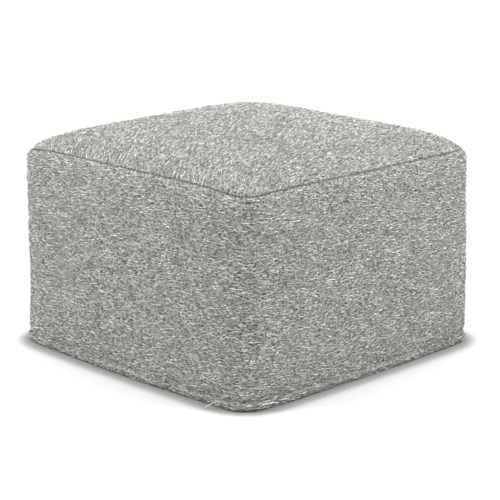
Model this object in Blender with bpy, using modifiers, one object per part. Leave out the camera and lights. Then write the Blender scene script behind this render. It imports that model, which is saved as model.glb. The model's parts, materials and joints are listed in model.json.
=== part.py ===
"""Cube pouf stool: a low, square floor seat, filled and covered in light grey boucle cloth.

The cover is cut as a square top panel, one band that runs round all four sides and a square
base panel. Each is modelled as the filled body under its own cloth. They meet face to face at
the two seams, where the cloth is drawn in.

Metres, +Z up. The origin is on the floor under the middle of the pouf, and the front is -Y.
"""
import math
from collections import namedtuple

import bmesh
import bpy

# --- Driving dimensions ----------------------------------------------------------------------
WIDTH = 0.500              # across two facing sides, at the middle of their bow
CORNER_RADIUS = 0.043      # of the four upright corners, in plan
SIDE_BOW = 0.0046          # how far the middle of a side stands out past its ends, in plan
TOP_SEAM = 0.2925          # height of the top seam at the corners, before they droop
BASE_SEAM = 0.0150         # height of the base seam at the corners
CROWN = 0.0320             # rise of the top panel from its shoulder to its middle
CROWN_POWER = 2.2          # 2 is a round crown, and more is flatter in the middle
SHOULDER = 0.0110          # rise of the shoulder that the top panel makes beside its seam
SHOULDER_REACH = 0.012     # distance from the seam in which most of the shoulder rises
LEAN = 0.0034              # how much narrower each side is at the top seam than at the base
GAP = 0.0003               # between two panels, all over the face where they meet

# --- Cage ------------------------------------------------------------------------------------
# Cuts across a block that runs from -1 to 1, closer together towards the rounded corners.
HALF_CUTS = (0.30, 0.55, 0.75, 0.86, 0.93)
OUTLINE = 0.999            # past this, a point of the block lies on its outline
SMOOTH_LEVELS = 1
LIFT_POWER = 6             # a side's seam is level in its middle and turns down near its corners
LIFT_FADE = 2              # a seam's lift dies away inside the pouf by this power
TOP_FADE = 3               # and over the top panel by this one
CORNER_REACH = 0.040       # how far along the seam a corner's droop is felt

# --- Sections, one row for each ring of the cage ---------------------------------------------
# share: height between the base seam and the top seam; inset: in from the fullest outline
BandRow = namedtuple("BandRow", "share inset")
BAND_SECTION = (
    BandRow(0.000, 0.0052),
    BandRow(0.010, 0.0012),
    BandRow(0.045, 0.0000),
    BandRow(0.140, 0.0000),
    BandRow(0.250, 0.0000),
    BandRow(0.360, 0.0000),
    BandRow(0.470, 0.0000),
    BandRow(0.580, 0.0000),
    BandRow(0.690, 0.0000),
    BandRow(0.800, 0.0001),
    BandRow(0.900, 0.0002),
    BandRow(0.960, 0.0006),
    BandRow(0.988, 0.0022),
    BandRow(1.000, 0.0070),
)
# reach: in from the seam; drop: how far the seam draws the cloth down below the shoulder's curve
TopRow = namedtuple("TopRow", "reach drop")
TOP_SECTION = (
    TopRow(0.0000, 0.0012),
    TopRow(0.0030, 0.0000),
    TopRow(0.0085, 0.0000),
)
# height: above the floor; inset: in from the fullest outline; ear: how much further a corner
# stands out, or in where negative
BaseRow = namedtuple("BaseRow", "height inset ear")
BASE_SECTION = (
    BaseRow(0.0000, 0.0085, -0.0030),
    BaseRow(0.0020, 0.0030, 0.0015),
    BaseRow(0.0065, 0.0010, 0.0030),
    BaseRow(0.0115, 0.0018, 0.0030),
    BaseRow(BASE_SEAM, 0.0052, 0.0000),
)

# --- The four sides --------------------------------------------------------------------------
# outward: unit direction in plan; run: unit direction along the side; top_lift and base_lift:
# how far the middle of the side's top and base seam lies above the seam's ends
Side = namedtuple("Side", "outward run top_lift base_lift")
SIDES = {
    "front": Side((0, -1), (1, 0), 0.0066, -0.0015),
    "right": Side((1, 0), (0, 1), 0.0018, -0.0015),
    "back": Side((0, 1), (-1, 0), 0.0052, -0.0010),
    "left": Side((-1, 0), (0, -1), 0.0022, -0.0010),
}
# x_sign, y_sign: which corner; droop: how far the top seam hangs down there
Corner = namedtuple("Corner", "x_sign y_sign droop")
CORNERS = (
    Corner(1, -1, 0.0026),
    Corner(-1, -1, 0.0020),
    Corner(1, 1, 0.0000),
    Corner(-1, 1, 0.0016),
)

# --- Soft unevenness of the filling ----------------------------------------------------------
# along: from the middle of the side in its run direction; height: above the floor; reach_along
# and reach_up: half sizes; out: how far the cloth stands out there, or goes in where negative
SideSwell = namedtuple("SideSwell", "side along height reach_along reach_up out")
SIDE_SWELLS = (
    SideSwell("front", -0.080, 0.205, 0.070, 0.055, 0.0025),
    SideSwell("front", 0.105, 0.065, 0.085, 0.035, -0.0030),
    SideSwell("front", 0.205, 0.225, 0.024, 0.070, -0.0030),
    SideSwell("front", -0.235, 0.085, 0.055, 0.080, -0.0018),
    SideSwell("right", -0.152, 0.216, 0.045, 0.050, 0.0025),
    SideSwell("right", -0.190, 0.120, 0.045, 0.026, -0.0030),
    SideSwell("right", -0.200, 0.055, 0.035, 0.030, 0.0025),
    SideSwell("right", 0.045, 0.062, 0.100, 0.032, -0.0030),
    SideSwell("right", 0.130, 0.190, 0.060, 0.060, 0.0015),
    SideSwell("right", 0.235, 0.115, 0.055, 0.080, 0.0020),
    SideSwell("back", 0.090, 0.180, 0.080, 0.060, 0.0020),
    SideSwell("back", -0.100, 0.090, 0.080, 0.040, -0.0025),
    SideSwell("back", 0.200, 0.210, 0.028, 0.060, -0.0020),
    SideSwell("left", -0.060, 0.190, 0.070, 0.060, 0.0020),
    SideSwell("left", 0.110, 0.080, 0.080, 0.040, -0.0025),
    SideSwell("left", -0.010, 0.070, 0.060, 0.030, -0.0015),
)
# along: as above; reach: half length; out: how far the base panel's edge spreads on the floor
BaseSwell = namedtuple("BaseSwell", "side along reach out")
BASE_SWELLS = (
    BaseSwell("front", 0.005, 0.080, 0.0060),
    BaseSwell("front", 0.190, 0.030, -0.0050),
    BaseSwell("right", -0.150, 0.060, 0.0065),
    BaseSwell("right", 0.060, 0.070, 0.0025),
    BaseSwell("back", 0.040, 0.090, 0.0050),
    BaseSwell("left", -0.060, 0.080, 0.0040),
)
LIP_SHARE = 0.3            # of that spread, how much the lip above the floor takes part in
EAR_START = 0.80           # where along each half side the base panel's corner ear begins
# x, y: centre in plan; reach: radius; rise: how far the top stands up there, or dips
TopSwell = namedtuple("TopSwell", "x y reach rise")
TOP_SWELLS = (
    TopSwell(0.120, -0.110, 0.080, 0.0015),
    TopSwell(-0.080, -0.150, 0.060, -0.0015),
    TopSwell(0.170, 0.060, 0.055, -0.0015),
    TopSwell(-0.130, 0.070, 0.080, 0.0015),
    TopSwell(0.020, 0.170, 0.060, -0.0012),
    TopSwell(-0.225, -0.225, 0.024, 0.0022),
)

# --- Cloth -----------------------------------------------------------------------------------
# colour: linear red, green and blue
Cloth = namedtuple("Cloth", "name colour roughness")
TOP_CLOTH = Cloth("boucle_top", (0.45, 0.44, 0.41), 0.95)
BAND_CLOTH = Cloth("boucle_band", (0.40, 0.39, 0.37), 0.95)
BASE_CLOTH = Cloth("boucle_base", (0.36, 0.35, 0.33), 0.95)


def bell(distance):
    """A smooth hill: 1 in the middle, 0.37 at a distance of 1, and nothing far out."""
    return math.exp(-distance * distance)


def locate(u, v):
    """Split a point of the block's plan into its side, its place along that side and its ring."""
    ring = max(abs(u), abs(v))
    if ring == 0:
        return SIDES["front"], 0.0, 0.0
    for side in SIDES.values():
        towards = u * side.outward[0] + v * side.outward[1]
        if towards >= ring:
            along = (u * side.run[0] + v * side.run[1]) / ring
            return side, along, ring
    raise ValueError("no side faces this point")


def side_offset(along):
    """Place on the fullest outline, in one side's own directions: (along the side, outward)."""
    half_run = WIDTH / 2 - SIDE_BOW - CORNER_RADIUS
    end_turn = math.atan(2 * SIDE_BOW / half_run)
    quarter_arc = CORNER_RADIUS * (math.pi / 4 - end_turn)
    straight_share = half_run / (half_run + quarter_arc)
    if abs(along) <= straight_share:
        share = along / straight_share
        turn = math.atan(2 * SIDE_BOW * share / half_run)
        centre = (share * half_run, half_run + SIDE_BOW * (1 - share * share))
    else:
        share = (abs(along) - straight_share) / (1 - straight_share)
        turn = math.copysign(end_turn + share * (math.pi / 4 - end_turn), along)
        centre = (math.copysign(half_run, along), half_run)
    return (centre[0] + CORNER_RADIUS * math.sin(turn),
            centre[1] + CORNER_RADIUS * math.cos(turn))


def plan_point(side, along, ring, inset):
    """Plan position of a point that lies `inset` in from the fullest outline, on a ring."""
    run_place, outward_place = side_offset(along)
    scale = ring * (1 - inset / (WIDTH / 2))
    x = scale * (run_place * side.run[0] + outward_place * side.outward[0])
    y = scale * (run_place * side.run[1] + outward_place * side.outward[1])
    return x, y


def corner_share(along):
    """0 along the straight run of a side, rising smoothly to 1 at its corners."""
    share = min(max((abs(along) - EAR_START) / (1 - EAR_START), 0.0), 1.0)
    return share * share * (3 - 2 * share)


def side_share(side, u, v):
    """How much of a side's lift reaches a point of the block's plan: all of it mid-side."""
    towards = max(u * side.outward[0] + v * side.outward[1], 0.0)
    across = abs(u * side.run[0] + v * side.run[1])
    return (1 - across ** LIFT_POWER) * towards ** LIFT_FADE


def top_seam_height(u, v):
    """Height of the face where the top panel meets the band."""
    lift = sum(side.top_lift * side_share(side, u, v) for side in SIDES.values())
    droop = 0.0
    for corner in CORNERS:
        distance = math.hypot(u - corner.x_sign, v - corner.y_sign) * WIDTH / 2
        droop += corner.droop * bell(distance / CORNER_REACH)
    return TOP_SEAM + lift - droop


def base_seam_height(u, v):
    """Height of the face where the band meets the base panel."""
    return BASE_SEAM + sum(side.base_lift * side_share(side, u, v) for side in SIDES.values())


def side_swell(x, y, height):
    """How far the filling pushes the band's cloth out at a point."""
    out = 0.0
    for swell in SIDE_SWELLS:
        side = SIDES[swell.side]
        along = x * side.run[0] + y * side.run[1] - swell.along
        depth = WIDTH / 2 - (x * side.outward[0] + y * side.outward[1])
        across = math.hypot(along, depth) / swell.reach_along
        up = (height - swell.height) / swell.reach_up
        out += swell.out * bell(math.hypot(across, up))
    return out


def base_swell(side, along):
    """How far the base panel's edge spreads on the floor at a place along a side."""
    place = along * WIDTH / 2
    return sum(swell.out * bell((place - swell.along) / swell.reach)
               for swell in BASE_SWELLS if SIDES[swell.side] is side)


def top_swell(x, y):
    """How far the filling lifts the top panel's cloth at a point."""
    return sum(swell.rise * bell(math.hypot(x - swell.x, y - swell.y) / swell.reach)
               for swell in TOP_SWELLS)


def place_top(u, v, row):
    """Move a point of the top panel's block to its place; row 0 lies on the seam."""
    side, along, ring = locate(u, v)
    section = TOP_SECTION[row]
    seam_inset = BAND_SECTION[-1].inset + LEAN
    if row == 0:
        x, y = plan_point(side, along, ring, seam_inset)
        return x, y, top_seam_height(u, v) + GAP / 2
    half = WIDTH / 2 - seam_inset
    reach = section.reach + (1 - ring) * (half - section.reach)
    share = 1 - reach / half
    crown = CROWN * (1 - share ** CROWN_POWER)
    shoulder = SHOULDER * (1 - math.exp(-reach / SHOULDER_REACH))
    x, y = plan_point(side, along, share, seam_inset)
    seam_lift = top_seam_height(u / ring, v / ring) - TOP_SEAM if ring > 0 else 0.0
    seam = TOP_SEAM + seam_lift * share ** TOP_FADE
    return x, y, seam + crown + shoulder - section.drop + top_swell(x, y)


def place_band(u, v, row):
    """Move a point of the band's block to its place; row 0 lies on the base seam."""
    side, along, ring = locate(u, v)
    section = BAND_SECTION[row]
    bottom = base_seam_height(u, v) + GAP / 2
    top = top_seam_height(u, v) - GAP / 2
    height = bottom + section.share * (top - bottom)
    inset = section.inset + LEAN * section.share
    if 0 < row < len(BAND_SECTION) - 1:
        x, y = plan_point(side, along, 1.0, inset)
        inset -= side_swell(x, y, height)
    x, y = plan_point(side, along, ring, inset)
    return x, y, height


def place_base(u, v, row):
    """Move a point of the base panel's block to its place; row 0 lies on the floor."""
    side, along, ring = locate(u, v)
    section = BASE_SECTION[row]
    if row == len(BASE_SECTION) - 1:
        x, y = plan_point(side, along, ring, section.inset)
        return x, y, base_seam_height(u, v) - GAP / 2
    spread = 1.0 if row == 0 else LIP_SHARE
    inset = section.inset - section.ear * corner_share(along) - spread * base_swell(side, along)
    x, y = plan_point(side, along, ring, inset)
    return x, y, section.height


def sliced_block(row_count):
    """A block from -1 to 1 in plan and one unit high for each row, sliced at every cage cut."""
    bm = bmesh.new()
    bmesh.ops.create_cube(bm, size=2.0)
    top_row = row_count - 1
    for vert in bm.verts:
        vert.co.z = top_row if vert.co.z > 0 else 0
    plan_cuts = [0.0] + [sign * cut for cut in HALF_CUTS for sign in (1, -1)]
    planes = [((cut, 0, 0), (1, 0, 0)) for cut in plan_cuts]
    planes += [((0, cut, 0), (0, 1, 0)) for cut in plan_cuts]
    planes += [((0, 0, row), (0, 0, 1)) for row in range(1, top_row)]
    for point, normal in planes:
        everything = bm.verts[:] + bm.edges[:] + bm.faces[:]
        bmesh.ops.bisect_plane(bm, geom=everything, plane_co=point, plane_no=normal)
    return bm


def crease_seams(bm, seam_rows):
    """Hold the edges of the faces that meet another panel, so the two keep the same outline."""
    crease = bm.edges.layers.float.new("crease_edge")
    for edge in bm.edges:
        on_outline = all(max(abs(vert.co.x), abs(vert.co.y)) > OUTLINE for vert in edge.verts)
        rows = {round(vert.co.z) for vert in edge.verts}
        if on_outline and len(rows) == 1 and rows <= seam_rows:
            edge[crease] = 1.0


def cloth_material(cloth):
    """The panel's cloth in its plain colour."""
    material = bpy.data.materials.new(cloth.name)
    material.use_nodes = True
    shader = material.node_tree.nodes["Principled BSDF"]
    shader.inputs["Base Color"].default_value = (*cloth.colour, 1.0)
    shader.inputs["Roughness"].default_value = cloth.roughness
    shader.inputs["Metallic"].default_value = 0.0
    return material


def filled_panel(name, row_count, seam_rows, place, cloth, collection):
    """One panel's filled body: a coarse cage in its place, smoothed by subdivision."""
    bm = sliced_block(row_count)
    crease_seams(bm, seam_rows)
    for vert in bm.verts:
        vert.co = place(vert.co.x, vert.co.y, round(vert.co.z))
    bmesh.ops.recalc_face_normals(bm, faces=bm.faces)
    mesh = bpy.data.meshes.new(name)
    bm.to_mesh(mesh)
    bm.free()
    mesh.shade_smooth()
    mesh.materials.append(cloth_material(cloth))
    panel = bpy.data.objects.new(name, mesh)
    collection.objects.link(panel)
    smooth = panel.modifiers.new("Smooth", "SUBSURF")
    smooth.levels = SMOOTH_LEVELS
    smooth.render_levels = SMOOTH_LEVELS
    return panel


def clear_scene():
    """Remove whatever objects the file opened with."""
    for scene_object in list(bpy.data.objects):
        bpy.data.objects.remove(scene_object, do_unlink=True)


def main():
    clear_scene()
    collection = bpy.data.collections.new("cube_pouf_stool")
    bpy.context.scene.collection.children.link(collection)
    band_top = len(BAND_SECTION) - 1
    base_top = len(BASE_SECTION) - 1
    filled_panel("top_panel", len(TOP_SECTION), {0}, place_top, TOP_CLOTH, collection)
    filled_panel("side_band", len(BAND_SECTION), {0, band_top}, place_band, BAND_CLOTH, collection)
    filled_panel("base_panel", len(BASE_SECTION), {base_top}, place_base, BASE_CLOTH, collection)


main()
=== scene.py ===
"""Looks of the cube pouf stool: its filled cover, the looped boucle yarn on it, its sewing and the studio.

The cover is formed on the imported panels, filled by Blender's cloth simulation, cut at its two
seams into the top, the band and the base, and covered with curls of yarn by Geometry Nodes.
Metres, +Z up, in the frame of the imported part: the front is -Y and the right side is +X.
"""

import json
import math

import bmesh
import bpy
import numpy as np
from bpy.props import FloatProperty, IntProperty, PointerProperty, StringProperty
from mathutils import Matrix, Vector, noise
from mathutils.bvhtree import BVHTree

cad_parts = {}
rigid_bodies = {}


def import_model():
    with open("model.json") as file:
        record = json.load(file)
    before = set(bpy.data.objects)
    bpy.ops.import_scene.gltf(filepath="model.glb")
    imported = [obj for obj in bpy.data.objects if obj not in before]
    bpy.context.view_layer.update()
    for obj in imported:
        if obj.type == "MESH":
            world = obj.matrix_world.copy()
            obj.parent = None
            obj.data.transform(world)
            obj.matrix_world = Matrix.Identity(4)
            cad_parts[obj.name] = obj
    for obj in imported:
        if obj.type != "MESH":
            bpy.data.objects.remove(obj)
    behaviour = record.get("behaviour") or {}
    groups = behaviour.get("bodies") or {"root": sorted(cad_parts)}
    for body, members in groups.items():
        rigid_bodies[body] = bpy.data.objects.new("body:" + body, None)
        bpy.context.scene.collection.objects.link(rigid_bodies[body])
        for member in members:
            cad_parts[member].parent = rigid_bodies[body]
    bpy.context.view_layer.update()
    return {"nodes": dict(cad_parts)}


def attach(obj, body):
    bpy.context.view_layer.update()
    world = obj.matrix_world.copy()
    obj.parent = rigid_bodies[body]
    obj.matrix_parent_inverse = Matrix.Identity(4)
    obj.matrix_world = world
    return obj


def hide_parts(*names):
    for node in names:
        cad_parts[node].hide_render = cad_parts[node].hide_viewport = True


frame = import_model()

bl_info = {
    "name": "Boucle pouf",
    "version": (1, 0, 0),
    "blender": (4, 5, 0),
    "location": "View3D > Sidebar > Pouf",
    "description": "Fills, sews and covers a square boucle pouf around its packed panels",
    "category": "Object",
}

# --- Pieces ----------------------------------------------------------------------------------
BODY = "root"
COVER = "filled_cover"                 # the mesh that the panels are cut from
TOP, BAND, BASE = 0, 1, 2              # values of the cover's face attribute "panel"
NODE_OF = {TOP: "top_panel", BAND: "side_band", BASE: "base_panel"}
PIECE_OF = {TOP: "top_cloth", BAND: "band_cloth", BASE: "base_cloth"}
MID_HEIGHT = 0.15                      # between the base seam and the top seam
VIEW_AZIMUTH = math.radians(45.5)      # of the picture's own right, from +X

# --- The cover's mesh, before its last subdivision -------------------------------------------
CELLS = 60                             # across each side
HALF_CELLS = CELLS // 2
STATIONS = 4 * CELLS                   # round the pouf, from the front left corner
JOIN_STATION = 3 * CELLS               # the band's closing join is at the back left corner
OUTLINE_LENGTH = 2.0                   # round the pouf, near enough to tell how far the join is
SEAM_STEPS = (0.0, 0.0013, 0.0032, 0.0060, 0.0100, 0.0155)   # rows beside a seam, from it
BASE_SHARES = (0.93, 0.80, 0.64, 0.46, 0.29, 0.14, 0.05)     # rows of the base's lip, of its height
ROW_STEP = 0.0083                      # between the band's other rows
CAST_DISTANCE = 0.06                   # how far outside a panel the search for its surface starts
LEVEL = 0.93                           # a face whose normal is this upright lies in a seam's plane
SEAM_GAP = 0.0003                      # between two panels at their seam
WELD = 0.00001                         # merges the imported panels' loose triangles
FLOOR_INSET = 0.030                    # from the lip to the flat middle of the base
NEAR_FLOOR = 0.003                     # an open edge below this height is round that middle
CAP_INSET = 0.86                       # a seam's hidden face is level inside this share of its outline
# Heights of the hidden faces' level parts, from the top panel's down to the base panel's
TOP_CAP, BAND_TOP_CAP, BAND_BASE_CAP, BASE_CAP = 0.2998, 0.2878, 0.0172, 0.0122
CLOTH_QUALITY = 4                      # of each step of the simulation


def opened(mesh):
    """A mesh's points, edges and faces, ready to be changed."""
    bm = bmesh.new()
    bm.from_mesh(mesh)
    return bm


def written(bm, mesh):
    """Write those changes into a mesh, and return it."""
    bm.to_mesh(mesh)
    bm.free()
    return mesh


def packed_surface(node):
    """A packed panel's surface, for finding points on it."""
    mesh = frame["nodes"][node].data
    corners = [vertex.co.copy() for vertex in mesh.vertices]
    return BVHTree.FromPolygons(corners, [tuple(face.vertices) for face in mesh.polygons])


def cast(surface, start, direction):
    """Where a straight line first meets a surface."""
    hit = surface.ray_cast(Vector(start), Vector(direction))[0]
    if hit is None:
        raise RuntimeError(f"no cloth is met from {tuple(start)}")
    return hit


def seam_outline(node, facing):
    """The edge of a panel's upper (1) or lower (-1) level face, as points in order round the pouf."""
    bm = opened(frame["nodes"][node].data)
    bmesh.ops.remove_doubles(bm, verts=bm.verts, dist=WELD)
    bm.normal_update()
    rim = set()
    for edge in bm.edges:
        level = [face.normal.z * facing > LEVEL for face in edge.link_faces]
        if len(level) == 2 and level[0] != level[1]:
            rim.update(tuple(vertex.co) for vertex in edge.verts)
    bm.free()
    return np.array(sorted(rim, key=lambda p: math.atan2(p[1], p[0])))


def even_stations(points):
    """Even steps along each side of a closed outline, from its front left corner, anticlockwise."""
    turns = np.arctan2(points[:, 1], points[:, 0])
    turns = np.concatenate([turns - 2 * math.pi, turns, turns + 2 * math.pi])
    points = np.concatenate([points] * 3)
    steps = np.linalg.norm(np.diff(points, axis=0), axis=1)
    length = np.concatenate([[0.0], np.cumsum(steps)])
    corner_turns = -0.75 * math.pi + 0.5 * math.pi * np.arange(5)
    corners = np.interp(corner_turns, turns, length)
    marks = np.concatenate([
        np.linspace(corners[side], corners[side + 1], CELLS, endpoint=False) for side in range(4)
    ])
    return np.stack([np.interp(marks, length, points[:, axis]) for axis in range(3)], 1)


def outward_of(ring):
    """Unit directions out of a ring of stations, in plan."""
    along = np.roll(ring, -1, 0) - np.roll(ring, 1, 0)
    out = np.stack([along[:, 1], -along[:, 0], np.zeros(len(ring))], 1)
    return out / np.linalg.norm(out, axis=1)[:, None]


def band_heights(height):
    """Heights of the band's rows above its base seam, close together beside both seams."""
    near = list(SEAM_STEPS)
    far = [height - step for step in reversed(SEAM_STEPS)]
    rows = round((far[0] - near[-1]) / ROW_STEP)
    middle = np.linspace(near[-1], far[0], rows + 1)[1:-1]
    return near + list(middle) + far


def top_scales(half):
    """Size of each square ring of the top, of its outline, from the middle out to the seam."""
    near = [1 - step / half for step in SEAM_STEPS]
    inner = np.linspace(0.0, near[-1], HALF_CELLS - len(near) + 2)
    return list(inner[:-1]) + list(reversed(near))


def station_of(a, b):
    """Which ring a point of the top's grid is on, and its place among the stations."""
    ring = max(abs(a), abs(b))
    if ring == 0:
        return 0, 0.0
    if b == -ring and a < ring:
        side, along = 0, a / ring
    elif a == ring and b < ring:
        side, along = 1, b / ring
    elif b == ring and a > -ring:
        side, along = 2, -a / ring
    else:
        side, along = 3, -b / ring
    return ring, (side + (along + 1) / 2) * CELLS % STATIONS


class CoverMesh:
    """Points and faces of the sewn cover as they are laid out, with what is known of each."""

    def __init__(self):
        self.points = []
        self.seam_reach = []           # along the cloth from the nearest seam
        self.join_reach = []           # along the band from its closing join
        self.held = []                 # points that the filling doesn't move
        self.faces = []
        self.panel = []

    def add_point(self, place, seam_reach, join_reach=1.0, held=False):
        """Add a point, far from the join unless told otherwise, and return its number."""
        self.points.append(tuple(place))
        self.seam_reach.append(seam_reach)
        self.join_reach.append(join_reach)
        if held:
            self.held.append(len(self.points) - 1)
        return len(self.points) - 1

    def add_strip(self, lower, upper, panel):
        """Faces between two rings of stations."""
        for here in range(STATIONS):
            after = (here + 1) % STATIONS
            self.faces.append((lower[here], lower[after], upper[after], upper[here]))
            self.panel.append(panel)


def lay_band(cover, base_ring, top_ring):
    """The band's rows from the base seam up to the top seam, and the seams' own points."""
    surface = packed_surface("side_band")
    out = outward_of((base_ring + top_ring) / 2)
    height = float((top_ring[:, 2] - base_ring[:, 2]).mean())
    rows = []
    for row_height in band_heights(height):
        share = row_height / height
        reach = min(row_height, height - row_height)
        on_seam = reach == 0
        row = []
        for station in range(STATIONS):
            place = Vector(base_ring[station] * (1 - share) + top_ring[station] * share)
            if not on_seam:
                direction = Vector(out[station])
                place = cast(surface, place + direction * CAST_DISTANCE, -direction)
            from_join = abs(station - JOIN_STATION) * OUTLINE_LENGTH / STATIONS
            row.append(cover.add_point(place, reach, from_join, held=on_seam))
        rows.append(row)
    for lower, upper in zip(rows, rows[1:]):
        cover.add_strip(lower, upper, BAND)
    return rows[0], rows[-1]


def lay_top(cover, seam_row, top_ring):
    """The top panel's grid of square rings inside the top seam."""
    surface = packed_surface("top_panel")
    half = float(np.abs(top_ring[:, :2]).max())
    scales = top_scales(half)
    closed = np.concatenate([top_ring, top_ring[:1]])
    index = {}
    for a in range(-HALF_CELLS, HALF_CELLS + 1):
        for b in range(-HALF_CELLS, HALF_CELLS + 1):
            ring, station = station_of(a, b)
            if ring == HALF_CELLS:
                index[a, b] = seam_row[int(round(station)) % STATIONS]
                continue
            x, y = (np.interp(station, range(STATIONS + 1), closed[:, axis]) for axis in (0, 1))
            start = (x * scales[ring], y * scales[ring], 1.0)
            place = cast(surface, start, (0, 0, -1))
            index[a, b] = cover.add_point(place, (1 - scales[ring]) * half)
    for a in range(-HALF_CELLS, HALF_CELLS):
        for b in range(-HALF_CELLS, HALF_CELLS):
            corners = ((a, b), (a + 1, b), (a + 1, b + 1), (a, b + 1))
            cover.faces.append(tuple(index[corner] for corner in corners))
            cover.panel.append(TOP)


def lay_base(cover, seam_row, base_ring):
    """The base panel's lip from the base seam down, and its flat underside."""
    surface = packed_surface("base_panel")
    out = outward_of(base_ring)
    above = seam_row
    for share in BASE_SHARES:
        row = []
        for station in range(STATIONS):
            direction = Vector(out[station])
            start = Vector(base_ring[station]) + direction * CAST_DISTANCE
            start.z *= share
            place = cast(surface, start, -direction)
            reach = float(base_ring[station, 2]) - place.z
            row.append(cover.add_point(place, reach, held=True))
        cover.add_strip(row, above, BASE)
        above = row
    for inset in (FLOOR_INSET / 3, FLOOR_INSET):
        row = []
        for station in range(STATIONS):
            place = base_ring[station] - out[station] * inset
            row.append(cover.add_point((place[0], place[1], 0.0), FLOOR_INSET, held=True))
        cover.add_strip(row, above, BASE)
        above = row
    cover.faces.append(tuple(reversed(above)))
    cover.panel.append(BASE)


def lay_cover():
    """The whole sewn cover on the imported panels, as one closed mesh."""
    cover = CoverMesh()
    top_ring = even_stations(seam_outline("side_band", 1))
    base_ring = even_stations(seam_outline("side_band", -1))
    base_row, top_row = lay_band(cover, base_ring, top_ring)
    lay_top(cover, top_row, top_ring)
    lay_base(cover, base_row, base_ring)
    return cover


def store(mesh, name, domain, values, kind="FLOAT"):
    """Keep values on a mesh's points or faces under a name."""
    attribute = mesh.attributes.new(name, kind, domain)
    if kind == "FLOAT_VECTOR":
        attribute.data.foreach_set("vector", np.asarray(values, np.float32).ravel())
    else:
        attribute.data.foreach_set("value", values)


def read(items, name, width):
    """What a mesh keeps on each of its points, in rows of a width."""
    found = np.empty(len(items) * width, np.float32)
    items.foreach_get(name, found)
    return found.reshape(-1, width).astype(float)


def places(mesh):
    """A mesh's points as rows of x, y and z."""
    return read(mesh.vertices, "co", 3)


def normals(mesh):
    """A mesh's smooth normals, one row for each point."""
    return read(mesh.vertex_normals, "vector", 3)


def values_of(mesh, name):
    """Numbers that store() kept on a mesh's points."""
    return read(mesh.attributes[name].data, "value", 1)[:, 0]


def put(mesh, points):
    """Move a mesh's points."""
    mesh.vertices.foreach_set("co", np.asarray(points, np.float32).ravel())
    mesh.update()


def evaluated_mesh(thing):
    """A plain mesh of an object as its modifiers leave it."""
    graph = bpy.context.evaluated_depsgraph_get()
    return bpy.data.meshes.new_from_object(thing.evaluated_get(graph))


def new_object(name, mesh):
    """A mesh's object in the scene."""
    thing = bpy.data.objects.new(name, mesh)
    bpy.context.scene.collection.objects.link(thing)
    return thing


def add_piece(name, mesh):
    """A finished piece of the pouf."""
    piece = new_object(name, mesh)
    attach(piece, BODY)
    return piece


def fill_by_simulation(mesh, held, sizes):
    """Blow the sewn cover up against its seams, and return where each point comes to rest."""
    form = new_object("cover_form", mesh.copy())
    group = form.vertex_groups.new(name="held")
    group.add(held, 1.0, "REPLACE")
    cloth = form.modifiers.new("Filling", "CLOTH")
    settings = cloth.settings
    settings.quality = CLOTH_QUALITY
    settings.vertex_group_mass = group.name
    settings.use_pressure = True
    settings.uniform_pressure_force = sizes.pressure
    settings.shrink_min = -sizes.slack
    settings.bending_stiffness = sizes.bending
    settings.effector_weights.gravity = 0.0
    cloth.collision_settings.use_collision = False
    scene = bpy.context.scene
    for step in range(1, sizes.steps + 1):
        scene.frame_set(step)
    rested = evaluated_mesh(form)
    found = places(rested)
    bpy.data.objects.remove(form)
    bpy.data.meshes.remove(rested)
    scene.frame_set(1)
    return found


class PoufCover(bpy.types.PropertyGroup):
    """How the cover is filled and sewn."""

    pressure: FloatProperty(
        name="Filling pressure", description="Push of the filling on the cloth", default=4.0, min=0.0)
    slack: FloatProperty(
        name="Slack", description="How much wider than its form the cloth is cut", default=0.012)
    bending: FloatProperty(
        name="Stiffness", description="How much the cloth resists a fold", default=0.6, min=0.0)
    steps: IntProperty(
        name="Steps", description="Steps of the cloth simulation", default=20, min=1)
    start_inset: FloatProperty(
        name="Start inset", description="How far inside its form the cloth starts",
        default=0.0012, unit="LENGTH")
    most_move: FloatProperty(
        name="Furthest move", description="Furthest that the filling moves a point of the cloth",
        default=0.0030, unit="LENGTH")
    broad_rounds: IntProperty(
        name="Broad rounds", description="Smoothing that tells the form's swell from its gathers",
        default=40, min=1)
    gather_share: FloatProperty(
        name="Gathers", description="How much of the simulated gathers the cloth keeps", default=0.5)
    swell: FloatProperty(
        name="Swells", description="Depth of the slow swells of the filling", default=0.0004,
        unit="LENGTH")
    pucker: FloatProperty(
        name="Puckers", description="Depth of the small gathers at the seams", default=0.0007,
        unit="LENGTH")
    pile_height: FloatProperty(
        name="Pile height", description="How far the ground cloth lies inside the form, for its loops",
        default=0.0007, unit="LENGTH")
    seam_depth: FloatProperty(
        name="Seam depth", description="How far the thread pulls the top seam in", default=0.0014,
        unit="LENGTH")
    stitch_step: FloatProperty(
        name="Stitch step", description="From one stitch to the next", default=0.0045, unit="LENGTH")
    crease: FloatProperty(
        name="Corner creases", description="Share of the near corner's creases", default=1.6)
    join_depth: FloatProperty(
        name="Join depth", description="Depth of the band's closing join", default=0.0030,
        unit="LENGTH")


def limited(moves, most):
    """Moves that grow ever slower towards the furthest one allowed."""
    size = np.linalg.norm(moves, axis=1)[:, None]
    return moves * (most * np.tanh(size / most) / np.maximum(size, 1e-9))


def smoothed(mesh, moves, rounds):
    """The broad part of some moves of a mesh's points: each is averaged with its neighbours."""
    ends = np.empty(len(mesh.edges) * 2, np.int32)
    mesh.edges.foreach_get("vertices", ends)
    one, other = ends.reshape(-1, 2).T
    count = len(mesh.vertices)
    neighbours = np.bincount(ends, minlength=count)
    for _ in range(rounds):
        total = [np.bincount(one, moves[other, axis], count) + np.bincount(other, moves[one, axis], count)
                 for axis in range(3)]
        moves = (moves + np.stack(total, 1) / neighbours[:, None]) / 2
    return moves


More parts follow.
